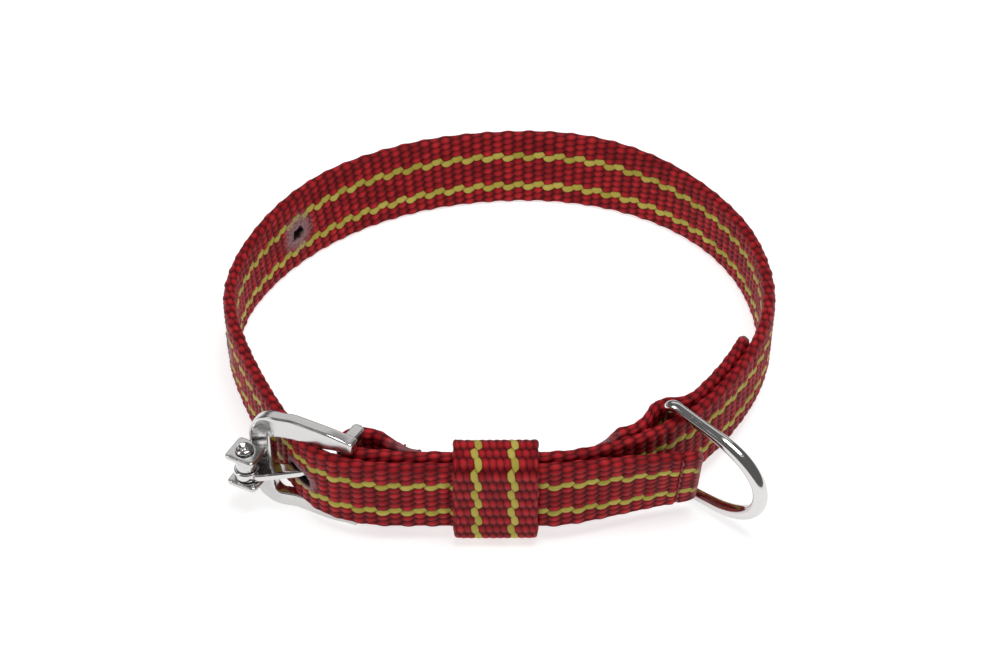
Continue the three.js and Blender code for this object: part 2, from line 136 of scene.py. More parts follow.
WALL_ROWS = 3  # rows of vertices inside a hole's wall
LAYER_GAP = 0.4
FRONT_LIFT = 4.0
LIFT_FROM_Y = 22.0
LIFT_OVER = 64.0
TAIL_LEAN = 12.0  # degrees that the top leans out at the tail's end
TAIL_LEAN_RUN = 34.0
BACK_LEAN = 14.0  # and at the back of the loop
BACK_LEAN_RUN = 85.0
BACK_LEAN_EASE = 55.0
BACK_AT = (-14, 61.5)

HEEL = np.array([-34.1, -58.6])
HEEL_WRAP_R = 3.5
TAIL_Y = -66.9
INNER_Y = TAIL_Y + THICK + LAYER_GAP

joints = {joint["name"]: joint for joint in frame["joints"]}


def hinge_at(name):
    return np.array(joints[name]["pos_m"]) / MM


# the strap is drawn about the heel bar's place, then moved to where the frame has the bar
drawn_shift = hinge_at("buckle_hinge")[:2] - HEEL


class Route:
    """A smooth line through points, walked by length."""

    def __init__(self, points, samples=12000):
        knots = np.array(points, float)
        ends = np.vstack([2 * knots[0] - knots[1], knots, 2 * knots[-1] - knots[-2]])
        walk = np.linspace(0, len(knots) - 1, samples)
        first = np.minimum(walk.astype(int), len(knots) - 2)
        t = (walk - first)[:, None]
        a, b, c, d = (ends[first + step] for step in range(4))
        gap_ab, gap_bc, gap_cd = (
            (((q - p) ** 2).sum(1) ** 0.25)[:, None] for p, q in ((a, b), (b, c), (c, d))
        )
        leave = (b - a) / gap_ab - (c - a) / (gap_ab + gap_bc) + (c - b) / gap_bc
        reach = (c - b) / gap_bc - (d - b) / (gap_bc + gap_cd) + (d - c) / gap_cd
        leave = leave * gap_bc
        reach = reach * gap_bc
        self.at = b + leave * t + (3 * c - 3 * b - 2 * leave - reach) * t**2
        self.at = self.at + (2 * b - 2 * c + leave + reach) * t**3
        steps = np.hypot(*np.diff(self.at, axis=0).T)
        self.walked = np.concatenate([[0], np.cumsum(steps)])
        self.length = self.walked[-1]
        heading = np.gradient(self.at, axis=0)
        self.heading = heading / np.linalg.norm(heading, axis=1)[:, None]

    def place(self, length):
        """Where a length along the line is, and its unit heading there."""
        at = np.stack([np.interp(length, self.walked, self.at[:, k]) for k in (0, 1)], -1)
        ahead = np.stack([np.interp(length, self.walked, self.heading[:, k]) for k in (0, 1)], -1)
        return at, ahead / np.linalg.norm(ahead, axis=-1, keepdims=True)

    def nearest(self, point, low, high):
        inside = (self.walked > low) & (self.walked < high)
        gaps = np.hypot(*(self.at - point).T)
        return self.walked[np.argmin(np.where(inside, gaps, np.inf))]


heel_turn = [
    HEEL - HEEL_WRAP_R * np.array([math.sin(turn), math.cos(turn)])
    for turn in np.radians(range(0, 181, 30))
]
strap_route = Route([
    (45.8, -60.7), (36.5, -62.3), (25, -64.6), (17, -66.2), (12, TAIL_Y), (6, TAIL_Y), (-2, TAIL_Y),
    (-10, TAIL_Y), (-18, TAIL_Y), (-24, TAIL_Y), (-29.5, -66.7), (-35.3, -65.6), (-40.5, -63.6),
    (-44.4, -61), (-47.5, -57.4), (-50.2, -53.3), (-52.8, -49.2), (-55.2, -44.9), (-60.1, -34.7),
    (-64.6, -23.4), (-68.1, -12), (-69.6, 0), (-68.1, 12), (-63.9, 23.2), (-58, 33.3), (-50.6, 42.2),
    (-41.8, 49.6), (-31.7, 55.4), (-21.3, 59.6), (-10.8, 62.2), (0, 63.5), (11.3, 63.6), (22.7, 61.8),
    (33.5, 57.9), (43.5, 51.8), (52.3, 43.7), (59.4, 34.1), (64.5, 23.2), (67.1, 11.8), (67.7, 0),
    (66.3, -11), (63.1, -21.5), (58.6, -31), (53.1, -39.6), (47.6, -46.2), (41.3, -51.6), (33.5, -56.4),
    (24.5, -60.3), (16, -62.7), (10, INNER_Y), (5, INNER_Y), (-1, INNER_Y), (-8, INNER_Y),
    (-16, INNER_Y), (-24, -63.1), (HEEL[0] + 3, HEEL[1] - HEEL_WRAP_R - 0.2),
    *heel_turn,
    (HEEL[0] + 3.6, HEEL[1] + HEEL_WRAP_R - 0.7), (-26.6, INNER_Y + 4.9), (-23, INNER_Y + 3.75),
    (-19.5, INNER_Y + THICK + LAYER_GAP),
])


def smooth(x):
    x = np.clip(x, 0, 1)
    return x * x * (3 - 2 * x)


def lift(y):
    """How far the strap's lower edge stands off the table."""
    return FRONT_LIFT * smooth((LIFT_FROM_Y - y) / LIFT_OVER)


def along_strap(length, inset=0.0, lean=0.0):
    """The strap's lower edge, its outward side and its upward side at lengths along it."""
    at, ahead = strap_route.place(length)
    out = np.stack([-ahead[..., 1], ahead[..., 0], np.zeros_like(length)], -1)
    slope = np.tan(np.radians(lean)) * np.ones_like(length)
    low = np.concatenate([at + drawn_shift, lift(at[..., 1])[..., None]], -1)
    low = low - out * (inset + slope * WIDTH / 2)[..., None]
    across = out * slope[..., None] + np.array([0.0, 0.0, 1.0])
    return low, out, across


class Section:
    """The webbing's rounded section, and its yarns counted round it from the outer face's foot."""

    def __init__(self, thick, yarns):
        self.thick = thick
        self.round = yarns * YARN
        self.corner = (2 * WIDTH + 2 * thick - self.round) / (8 - 2 * math.pi)
        self.face = WIDTH - 2 * self.corner
        self.flat = thick - 2 * self.corner
        self.bend = math.pi / 2 * self.corner
        face_step = self.face / FACE_CELLS
        edge_step = (self.flat + 2 * self.bend) / EDGE_CELLS
        steps = ([face_step] * FACE_CELLS + [edge_step] * EDGE_CELLS) * 2
        self.stops = self.corner + np.concatenate([[0], np.cumsum(steps)[:-1]])

    def place(self, q):
        """Side (outwards) and height of a place round the section, and the way it faces."""
        half_round = self.face + 2 * self.bend + self.flat
        turned = (q - self.corner) % (2 * half_round)
        back = turned >= half_round
        w = np.where(back, turned - half_round, turned)
        angle = np.clip(w - self.face, 0, self.bend) / self.corner
        angle = angle + np.clip(w - self.face - self.bend - self.flat, 0, self.bend) / self.corner
        inwards = np.clip(w - self.face - self.bend, 0, self.flat)
        side = self.thick / 2 - self.corner + self.corner * np.cos(angle) - inwards
        height = np.minimum(w, self.face) - self.face / 2 + self.corner * np.sin(angle)
        flip = np.where(back, -1, 1)
        return side * flip, WIDTH / 2 + height * flip, np.cos(angle) * flip, np.sin(angle) * flip


def wrapped(x, period):
    return (x + period / 2) % period - period / 2


def weave(s, q):
    """Height of the plain weave's floats, from 0 in the gaps to about 1 on top."""
    top = np.zeros(np.broadcast(s, q).shape)
    for turn in (0, 1):
        ds = wrapped(s - turn * RIB, 2 * RIB)
        dq = wrapped(q - FLOAT_SLANT * ds - turn * YARN, 2 * YARN)
        own = np.sin((s - ds) * 3.1 + (q - FLOAT_SLANT * ds - dq) * 7.7) * 0.1
        hump = np.clip(1 - (ds / FLOAT_LONG) ** 2 - (dq / FLOAT_WIDE) ** 2, 0, 1) ** FLOAT_ROUND
        top = np.maximum(top, hump * (0.92 + own))
    return top


def lumps(s, q):
    """Slow uneven swell of melted or handled webbing, from -1 to 1."""
    wave = np.sin(1.9 * s + 0.7 * q) * np.cos(1.3 * q - 0.4 * s)
    return 0.6 * wave + 0.4 * np.sin(4.3 * s + 1.1) * np.sin(3.7 * q + 0.6 * s)


class Hole:
    """A round-ended hole through both faces, with the webbing melted and charred about it."""

    def __init__(self, length, height, wide, tall, melt, char, ragged):
        self.length = length
        self.height = height
        self.wide = wide
        self.tall = tall
        self.melt = melt
        self.char = char
        self.ragged = ragged

    def outside(self, s, v):
        """How far a place is outside the hole's edge, and the way outwards."""
        spread = max(self.wide - self.tall, 0) / 2
        ds = s - self.length
        ds = ds - np.clip(ds, -spread, spread)
        dv = v - self.height
        far = np.hypot(ds, dv) + 1e-9
        turn = np.arctan2(dv, ds)
        ragged = self.ragged * (np.sin(2 * turn + 0.8) + 0.6 * np.sin(5 * turn + self.length))
        return far - self.tall / 2 - ragged, ds / far, dv / far


class Band:
    """A woven band along a route: a fine mesh with real floats, ribs, melted ends and holes.

    Over the grid, melt and scorch colour the yarns (on the hole walls also as painted shade), press
    levels the weave, swell raises it, thin squeezes the band towards one face, and the cuts narrow it
    from below and above.
    """

    def __init__(self, name, place, span, section, depth=WEAVE_DEPTH):
        self.name = name
        self.place = place
        self.section = section
        self.depth = depth
        self.span = span
        rows = int((span[1] - span[0]) / STEP) + 1
        self.s, self.q = np.meshgrid(np.linspace(*span, rows), section.stops, indexing="ij")
        self.melt = np.zeros_like(self.s)
        self.char = np.zeros_like(self.s)
        self.press = np.zeros_like(self.s)
        self.swell = np.zeros_like(self.s)
        self.thin = np.zeros_like(self.s)
        self.cut_low = np.zeros_like(self.s)
        self.cut_high = np.zeros_like(self.s)
        self.gone = np.zeros((rows - 1, len(section.stops)), bool)

    def heights(self):
        return self.section.place(self.q)[1]

    def on_face(self):
        columns = np.arange(self.s.shape[1])
        back = FACE_CELLS + EDGE_CELLS
        face = (columns <= FACE_CELLS) | ((columns >= back) & (columns <= back + FACE_CELLS))
        return np.broadcast_to(face, self.s.shape)

    def seal_end(self, end, run=SEAL_RUN):
        """Melts the yarn ends together where the band was cut hot."""
        away = np.abs(self.s - self.span[end])
        sealed = smooth(1 - away / run)
        self.melt = np.maximum(self.melt, 0.75 * sealed)
        self.press = np.maximum(self.press, smooth(1 - away / (2.2 * run)))

    def flatten_end(self, end, run, share, kept_side):
        """Presses the last stretch thin against the band that it is sewn to."""
        near = 1 - np.abs(self.s - self.span[end]) / run
        self.thin = kept_side * share * smooth(near)
        self.cut_high = 1.6 * smooth(near)
        melted = 0.8 * smooth(1.3 * near + 0.3 * lumps(self.s, self.q))
        self.melt = np.maximum(self.melt, melted)

    def pierce(self, hole):
        v = self.heights()
        gap, ds, dv = hole.outside(self.s, v)
        face = self.on_face()
        cell = slice(None, -1)
        middle = (gap[cell] + gap[1:]) / 2
        middle = (middle + np.roll(middle, -1, 1)) / 2
        cell_face = face[cell] & np.roll(face, -1, 1)[cell]
        gone = (middle < 0) & cell_face
        self.gone = self.gone | gone
        touches_gone = np.zeros_like(face)
        touches_kept = np.zeros_like(face)
        for mask, cells in ((touches_gone, gone), (touches_kept, ~gone)):
            right = np.roll(cells, 1, 1)
            mask[:-1] |= cells | right
            mask[1:] |= cells | right
        rim = touches_gone & touches_kept
        new_v = v - np.where(rim, gap * dv, 0)
        self.s = self.s - np.where(rim, gap * ds, 0)
        outer = np.arange(self.s.shape[1]) <= FACE_CELLS
        on_back = 2 * (self.section.corner + self.section.face)
        on_back = on_back + self.section.flat + 2 * self.section.bend - new_v
        self.q = np.where(rim, np.where(outer, new_v, on_back), self.q)
        near = np.where(face, np.clip(gap, 0, None), np.inf)
        rough = 0.35 * lumps(2.2 * self.s, 2.2 * v)
        melted = smooth(1.25 - near / hole.melt + rough * smooth(near))
        self.melt = np.maximum(self.melt, melted)
        self.press = np.maximum(self.press, melted)
        self.char = np.maximum(self.char, smooth(1 - near / hole.char))
        bead = np.exp(-((near - BEAD_AT) / BEAD_HALF) ** 2) * BEAD_TALL
        bead = bead + melted * 0.12 * lumps(3.1 * self.s, 3.3 * v)
        self.swell = self.swell + np.where(face, bead, 0)

    def shape(self):
        """Every vertex of the grid, in mm."""
        side, height, face_out, face_up = self.section.place(self.q)
        floats = weave(self.s, self.q)
        ribs = 0.5 + 0.5 * np.cos(2 * math.pi * self.s / RIB)
        woven = 0.68 * floats + 0.32 * ribs**0.7
        pressed = 0.5 + 0.18 * floats + 0.14 * lumps(self.s, self.q)
        rise = woven + (pressed - woven) * self.press
        edge = smooth((np.abs(height - WIDTH / 2) - WIDTH / 2 + EDGE_BAND) / 1.4)
        scallop = EDGE_SCALLOP * np.cos(math.pi * self.s / RIB) * edge
        rise = rise + (0.7 + 0.15 * floats - rise) * 0.9 * edge
        move = self.depth * (rise - WEAVE_LEVEL) + scallop + self.swell
        side = side + face_out * move
        side = side * (1 - np.abs(self.thin)) + self.section.thick / 2 * self.thin
        height = height + face_up * move
        height = self.cut_low + height * (WIDTH - self.cut_low - self.cut_high) / WIDTH
        low, out, across = self.place(self.s)
        return low + out * side[..., None] + across * height[..., None]

    def build(self, looks):
        """The band's object: its woven grid, the walls of its holes and its blunt ends."""
        grid = self.shape()
        rows, columns = self.s.shape
        index = np.arange(rows * columns).reshape(rows, columns)
        beside = np.roll(index, -1, 1)
        quads = np.stack([index[:-1], beside[:-1], beside[1:], index[1:]], -1)
        s_next = np.roll(self.s, -1, 1)
        q_next = np.roll(self.q, -1, 1)
        q_next[:, -1] += self.section.round
        marks = np.stack([
            np.stack([self.s[:-1], self.q[:-1]], -1), np.stack([s_next[:-1], q_next[:-1]], -1),
            np.stack([s_next[1:], q_next[1:]], -1), np.stack([self.s[1:], self.q[1:]], -1),
        ], -2)
        self.faces = quads[~self.gone].tolist()
        self.marks = [marks[~self.gone].reshape(-1, 2)]
        self.vertices = [grid.reshape(-1, 3)]
        self.count = rows * columns
        self.melts = [self.melt.ravel()]
        self.scorch_and_shade_values = [self.char.ravel()]
        self.wall_holes(grid, quads)
        self.blunt_end(grid, 0, -1)
        self.blunt_end(grid, rows - 1, 1)
        return self.finish(looks)

    def add_points(self, points, melt, char):
        """Adds vertices and gives their numbers."""
        numbers = np.arange(self.count, self.count + len(points))
        self.count += len(points)
        self.vertices.append(points)
        self.melts.append(np.full(len(points), melt))
        self.scorch_and_shade_values.append(np.full(len(points), char))
        return numbers

    def wall_holes(self, grid, quads):
        """Joins the two faces by a melted wall round each hole, fully scorched in colour, which also
        paints shade inside the hole.
        """
        columns = self.s.shape[1]
        opposite = 2 * FACE_CELLS + EDGE_CELLS
        shares = (np.arange(WALL_ROWS) + 1) / (WALL_ROWS + 1)
        through = {}
        for row, column in np.argwhere(self.gone[:, :FACE_CELLS]):
            corners = quads[row, column].tolist()
            cells = ((row, column - 1), (row, column + 1), (row - 1, column), (row + 1, column))
            for cell, (p, q) in zip(cells, ((3, 0), (1, 2), (0, 1), (2, 3))):
                if self.gone[cell]:
                    continue
                for vertex in (corners[p], corners[q]):
                    if vertex not in through:
                        i, j = divmod(vertex, columns)
                        hall = grid[i, j] + (grid[i, opposite - j] - grid[i, j]) * shares[:, None]
                        # the wall's points get full melt and full scorch: real scorching, and painted
                        # shade inside the hole
                        inner = self.add_points(hall, 1.0, 1.0).tolist()
                        through[vertex] = [vertex, *inner, i * columns + opposite - j]
                first, second = through[corners[p]], through[corners[q]]
                for step in range(WALL_ROWS + 1):
                    self.faces.append([first[step], second[step], second[step + 1], first[step + 1]])
                mark = [self.s.flat[corners[p]], self.q.flat[corners[p]]]
                self.marks.append(np.array([mark] * 4 * (WALL_ROWS + 1)))

    def blunt_end(self, grid, row, step):
        """Draws a cut end in to a melted lip and closes it."""
        columns = self.s.shape[1]
        ring = grid[row]
        centre = (ring + ring[(2 * FACE_CELLS + EDGE_CELLS - np.arange(columns)) % columns]) / 2
        outwards = (ring - grid[row - step]).mean(0)
        outwards = outwards / np.linalg.norm(outwards)
        lip = centre + (ring - centre) * LIP_SIZE + outwards * LIP_OUT
        lips = self.add_points(lip, 0.8, 0.25)
        loop = row * columns + np.arange(columns)
        rim = [loop, lips, np.roll(lips, -1), np.roll(loop, -1)]
        across = np.arange(FACE_CELLS)
        far = 2 * FACE_CELLS + EDGE_CELLS - across
        cap = [lips[across], lips[far], lips[far - 1], lips[across + 1]]
        top = lips[FACE_CELLS:FACE_CELLS + EDGE_CELLS + 1].tolist()
        foot = lips[2 * FACE_CELLS + EDGE_CELLS:].tolist() + [int(lips[0])]
        for sides in (rim, cap):
            sheet = np.stack(sides, -1)
            self.faces += (sheet if step < 0 else sheet[:, ::-1]).tolist()
        for outline in (top, foot):
            self.faces.append(outline if step > 0 else outline[::-1])
        mark = [self.s[row, 0], self.section.corner]
        self.marks.append(np.array([mark] * (4 * (columns + FACE_CELLS) + len(top) + len(foot))))

    def finish(self, looks):
        mesh = bpy.data.meshes.new(self.name)
        mesh.from_pydata(np.concatenate(self.vertices) * MM, [], self.faces)
        thread_map = mesh.uv_layers.new(name="thread")
        thread_map.data.foreach_set("uv", np.concatenate(self.marks).ravel())
        for name, values in (("melt", self.melts), ("char", self.scorch_and_shade_values)):
            layer = mesh.attributes.new(name, "FLOAT", "POINT")
            layer.data.foreach_set("value", np.concatenate(values).astype(np.float32))
        mesh.shade_smooth()
        mesh.materials.append(looks)
        band = bpy.data.objects.new(self.name, mesh)
        bpy.context.scene.collection.objects.link(band)
        return band


class Value:
    """A number in a shader; arithmetic on it adds Math nodes."""

    def __init__(self, graph, socket):
        self.graph = graph
        self.socket = socket

    def math(self, operation, *others):
        sockets = dict(enumerate((self, *others)))
        return self.graph.add("ShaderNodeMath", {"operation": operation}, sockets)

    def clamped(self):
        return self.math("MAXIMUM", 0).math("MINIMUM", 1)

    def __add__(self, other):
        return self.math("ADD", other)

    __radd__ = __add__

    def __sub__(self, other):
        return self.math("SUBTRACT", other)

    def __rsub__(self, other):
        return self.graph.add("ShaderNodeMath", {"operation": "SUBTRACT"}, {0: other, 1: self})

    def __mul__(self, other):
        return self.math("MULTIPLY", other)

    __rmul__ = __mul__

    def __truediv__(self, other):
        return self.math("DIVIDE", other)

    def __pow__(self, other):
        return self.math("POWER", other)

    def __gt__(self, other):
        return self.math("GREATER_THAN", other)


class Graph:
    """One material's node graph."""

    def __init__(self, name):
        self.material = bpy.data.materials.new(name)
        self.material.use_nodes = True
        self.tree = self.material.node_tree
        self.tree.nodes.clear()

    def add(self, kind, settings=None, sockets=None, output=0):
        """Adds a node with its settings and its sockets' values or links."""
        node = self.tree.nodes.new(kind)
        for key, value in (settings or {}).items():
            setattr(node, key, value)
        for key, value in (sockets or {}).items():
            if isinstance(value, Value):
                self.tree.links.new(value.socket, node.inputs[key])
            else:
                node.inputs[key].default_value = value
        return Value(self, node.outputs[output])

    def mix(self, factor, a, b):
        """Colour a where factor is 0, and b where it is 1."""
        a = (*a, 1) if isinstance(a, tuple) else a
        b = (*b, 1) if isinstance(b, tuple) else b
        return self.add("ShaderNodeMix", {"data_type": "RGBA"}, {0: factor, 6: a, 7: b}, 2)

    def finish(self, sockets):
        shader = self.add("ShaderNodeBsdfPrincipled", None, sockets)
        output = self.tree.nodes.new("ShaderNodeOutputMaterial")
        self.tree.links.new(shader.socket, output.inputs["Surface"])
        return self.material


CRIMSON = (0.25, 0.0035, 0.009)
CRIMSON_LIGHT = (0.7, 0.026, 0.034)
# MAROON is painted shade in the gaps of the weave, and also the dark spots of melted yarn
MAROON = (0.05, 0.0012, 0.003)
YELLOW = (0.4, 0.33, 0.04)
YELLOW_LIGHT = (0.66, 0.56, 0.12)
# painted shade for the gaps between the yellow floats
YELLOW_PAINTED_SHADE = (0.16, 0.12, 0.01)
MELTED = (0.21, 0.09, 0.1)
MELTED_PALE = (0.37, 0.22, 0.23)
# the scorch colour: real scorching round the holes' edges and the cut ends, and painted shade on the hole
# walls
SCORCHED_AND_SHADED = (0.022, 0.012, 0.012)


def webbing_look(name, yellow_pairs):
    """Crimson yarns with yellow ones at the given places round the section, in mm, with painted shade
    darkening the gaps between floats and between ribs.
    """
    g = Graph(name)
    thread = g.add("ShaderNodeUVMap", {"uv_map": "thread"})
    s = g.add("ShaderNodeSeparateXYZ", None, {0: thread})
    q = g.add("ShaderNodeSeparateXYZ", None, {0: thread}, 1)
    floats = []
    for turn in (0, 1):
        ds = (s - turn * RIB).math("WRAP", RIB, -RIB)
        dq = (q - ds * FLOAT_SLANT - turn * YARN).math("WRAP", YARN, -YARN)
        hump = (1 - (ds / FLOAT_LONG) ** 2 - (dq / FLOAT_WIDE) ** 2).math("MAXIMUM", 0)
        floats.append((ds, dq, hump ** FLOAT_ROUND))
    (ds_a, dq_a, hump_a), (ds_b, dq_b, hump_b) = floats
    second = hump_b > hump_a
    ds = ds_a + (ds_b - ds_a) * second
    dq = dq_a + (dq_b - dq_a) * second
    yarn = q - ds * FLOAT_SLANT - dq
    hump = hump_a.math("MAXIMUM", hump_b)
    own_place = {0: (s - ds).math("ROUND"), 1: (yarn * 3).math("ROUND")}
    own_place = g.add("ShaderNodeCombineXYZ", None, own_place)
    own = g.add("ShaderNodeTexWhiteNoise", {"noise_dimensions": "2D"}, {"Vector": own_place})
    slow = g.add("ShaderNodeTexNoise", None, {"Vector": thread, "Scale": 0.22, "Detail": 2.0})
    yellow = 0
    for centre in yellow_pairs:
        yellow = yellow + yarn.math("COMPARE", centre, 0.5)
    filaments = (dq * 26 + ds * 9 + own * 6).math("SINE")
    fibre = 0.5 + 0.5 * filaments
    rib = (s * (2 * math.pi / RIB)).math("COSINE") * 0.5 + 0.5
    # painted shade: darker towards maroon where the floats are low, in the gaps between them and in the
    # valleys between ribs
    painted_gap_shade = (hump * 1.4 - 0.38).clamped() * (0.45 + 0.55 * rib ** 0.5)
    # painted shade in the gaps between the yellow floats
    painted_gold_gap_shade = (hump * 1.7 - 0.2).clamped()
    light = own * 0.6 + slow * 0.1 + fibre * 0.3
    red = g.mix(painted_gap_shade, MAROON, g.mix(light, CRIMSON, CRIMSON_LIGHT))
    gold = g.mix(painted_gold_gap_shade, YELLOW_PAINTED_SHADE, g.mix(light, YELLOW, YELLOW_LIGHT))
    woven = g.mix(yellow, red, gold)
    melt = g.add("ShaderNodeAttribute", {"attribute_name": "melt"}, None, 2)
    char = g.add("ShaderNodeAttribute", {"attribute_name": "char"}, None, 2)
    crust = g.add("ShaderNodeTexNoise", None, {"Vector": thread, "Scale": 1.4, "Detail": 4.0})
    melted = g.mix((crust - 0.35) * 3, MELTED, MELTED_PALE)
    melted = g.mix(((0.42 - crust) * 6).clamped(), melted, MAROON)
    colour = g.mix(melt, woven, melted)
    # scorched edges, and painted shade on the walls inside the holes
    colour = g.mix(char, colour, SCORCHED_AND_SHADED)
    rough = 0.6 - 0.16 * hump - 0.1 * melt
    fine = filaments * 0.5 * (1 - melt) + crust * melt
    normal = g.add("ShaderNodeBump", None, {"Strength": 0.6, "Distance": 0.00006, "Height": fine})
    return g.finish({
        "Base Color": colour, "Roughness": rough, "Normal": normal, "Specular IOR Level": 0.13,
    })


# places of the yellow yarns round the section, on the outer face and on the neck's face
STRIPES = (5.52, 14.03, 28.48, 36.98)
YARNS = 52  # counted right round

webbing = webbing_look("crimson_webbing", STRIPES)
strap_section = Section(SWOLLEN, YARNS)

HOLE_PITCH = 50.3
HOLE_HEIGHT = 10.0
TONGUE_HOLE_HEIGHT = 8.8
TAIL_SEAM = 4.6
TAIL_FOOT_R = 3.2  # the tail's lower corner is cut round, its upper one only eased
TAIL_FOOT_RUN = 3.0
TAIL_TOP_R = 0.8
SEAM_SINK = 0.45
BUCKLE_TURN = math.radians(153)
TONGUE_TURN = math.radians(180 + 23.3)

back_length = strap_route.nearest(BACK_AT, 150, 350)


def strap_lean(length):
    """How far the band leans out at the top, in degrees: at the tail's end and at the back."""
    tail = TAIL_LEAN * smooth((TAIL_LEAN_RUN - length) / TAIL_LEAN_RUN)
    return tail + BACK_LEAN * smooth((BACK_LEAN_RUN - np.abs(length - back_length)) / BACK_LEAN_EASE)


def strap_place(length):
    return along_strap(length, 0.0, strap_lean(length))


# the first hole is where the tongue's own line crosses the strap
tongue_line = BUCKLE_TURN + TONGUE_TURN
pin_drawn = hinge_at("tongue_hinge")[:2] - drawn_shift
off_pin = strap_route.at - pin_drawn
beside = np.abs(off_pin[:, 0] * np.sin(tongue_line) - off_pin[:, 1] * np.cos(tongue_line))
reachable = (strap_route.walked > 80) & (strap_route.walked < 150)
reachable &= off_pin @ np.array([np.cos(tongue_line), np.sin(tongue_line)]) > 0
first_hole = strap_route.walked[np.argmin(np.where(reachable, beside, np.inf))]

strap_band = Band("strap_webbing", strap_place, (0, strap_route.length), strap_section)
strap_band.seal_end(0)
strap_band.seal_end(1)
strap_band.flatten_end(1, 9.0, 0.5, -1)
from_end = np.clip(TAIL_FOOT_RUN - strap_band.s, 0, TAIL_FOOT_RUN)
strap_band.cut_low = TAIL_FOOT_R - np.sqrt(TAIL_FOOT_R**2 - from_end**2)
from_end = np.clip(TAIL_TOP_R - strap_band.s, 0, TAIL_TOP_R)
strap_band.cut_high += TAIL_TOP_R - np.sqrt(np.maximum(TAIL_TOP_R**2 - from_end**2, 0))
strap_band.press = np.maximum(strap_band.press, 0.75 * smooth((TAIL_SEAM + 0.3 - strap_band.s) / 0.8))
strap_band.swell -= SEAM_SINK * np.exp(-(((strap_band.s - TAIL_SEAM) / SEAM_SINK) ** 2))
worn_hole = Hole(first_hole - 0.6, TONGUE_HOLE_HEIGHT,
                 wide=7.4, tall=3.4, melt=2.0, char=0.5, ragged=0.12)
strap_band.pierce(worn_hole)
for step in (1, 2):
    spare_hole = Hole(first_hole + step * HOLE_PITCH, HOLE_HEIGHT,
                      wide=3.4, tall=3.0, melt=4.0, char=0.4, ragged=0.34)
    strap_band.pierce(spare_hole)
strap = strap_band.build(webbing)
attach(strap, "strap")
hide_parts("strap")


# ---------- ring patch ----------
# A short length of the same webbing, sewn to the neck side of the strap on both sides of the
# ring's bar, which it holds in a pocket. Both ends were cut hot, so their yarns are melted.

RING_AT = (41.3, -51.6)
RING_WIRE_R = 1.5
BAR_INSET = THICK / 2 + 0.35 + RING_WIRE_R
PATCH_CLOSE = SWOLLEN - 0.05
PATCH_BEFORE = 21.0
PATCH_AFTER = 36.0
PATCH_BULGE_HALF = 10.0

ring_length = strap_route.nearest(RING_AT, strap_route.length - 130, strap_route.length - 60)


def patch_inset(length):
    away = np.minimum(np.abs(length - ring_length) / PATCH_BULGE_HALF, 1)
    return PATCH_CLOSE + (2 * BAR_INSET - PATCH_CLOSE) * (0.5 + 0.5 * np.cos(math.pi * away))


def patch_place(length):
    return along_strap(length, patch_inset(length))


patch_span = (ring_length - PATCH_AFTER, ring_length + PATCH_BEFORE)
patch_band = Band("ring_patch_webbing", patch_place, patch_span, strap_section)
patch_band.seal_end(0)
patch_band.seal_end(1, 2.2)
patch_band.flatten_end(1, 7.0, 0.65, 1)
patch = patch_band.build(webbing)
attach(patch, "strap")
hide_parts("ring_patch")


# ---------- keeper ----------
# A loop of the same webbing, pressed thinner and closed behind, that slides over the two
# layers and holds the tail down. Its stripes run up and down.

KEEPER_THICK = 2.0
KEEPER_BEND = 1.6
KEEPER_YARNS = 50
KEEPER_DEPTH = 0.5
KEEPER_SEAL = 0.6

keeper_low, keeper_high = (np.array(corner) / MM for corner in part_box("keeper"))
keeper_y = (keeper_low[1] + KEEPER_THICK / 2, keeper_high[1] - KEEPER_THICK / 2)
keeper_z = (keeper_low[2] + KEEPER_THICK / 2, keeper_high[2] - KEEPER_THICK / 2)


def rounded_corner(y, z, from_angle):
    turns = np.radians(from_angle - np.arange(0, 91, 15))
    return [(y + KEEPER_BEND * math.cos(turn), z + KEEPER_BEND * math.sin(turn)) for turn in turns]


def keeper_line():
    """From the middle behind: down, under, up the front, over the top and back, in Y and Z."""
    y0, y1 = keeper_y[0] + KEEPER_BEND, keeper_y[1] - KEEPER_BEND
    z0, z1 = keeper_z[0] + KEEPER_BEND, keeper_z[1] - KEEPER_BEND
    middle = (z0 + z1) / 2
    line = [(keeper_y[1], middle), (keeper_y[1], z0 + 1)]
    line += rounded_corner(y1, z0, 0)
    line += rounded_corner(y0, z0, -90)
    line += [(keeper_y[0], z0 + (z1 - z0) * share) for share in (0.1, 0.35, 0.65, 0.9)]
    line += rounded_corner(y0, z1, 180)
    line += rounded_corner(y1, z1, 90)
    line += [(keeper_y[1], z1 - 1), (keeper_y[1], middle + 0.1)]
    return Route(line, 4000)


keeper_route = keeper_line()


def keeper_place(length):
    at, ahead = keeper_route.place(length)
    low = np.concatenate([np.full_like(length, keeper_low[0])[..., None], at], -1)
    out = np.stack([np.zeros_like(length), -ahead[..., 1], ahead[..., 0]], -1)
    return low, out, np.broadcast_to(np.array([1.0, 0.0, 0.0]), out.shape)


keeper_section = Section(KEEPER_THICK, KEEPER_YARNS)
keeper_span = (0, keeper_route.length)
keeper_band = Band("keeper_webbing", keeper_place, keeper_span, keeper_section, KEEPER_DEPTH)
keeper_band.seal_end(0, KEEPER_SEAL)
keeper_band.seal_end(1, KEEPER_SEAL)
keeper = keeper_band.build(webbing)
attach(keeper, "keeper")
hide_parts("keeper")


# ---------- sewing ----------
# Crimson polyester thread through both layers: short slanting stitches, each pulled into
# the webbing at its ends.

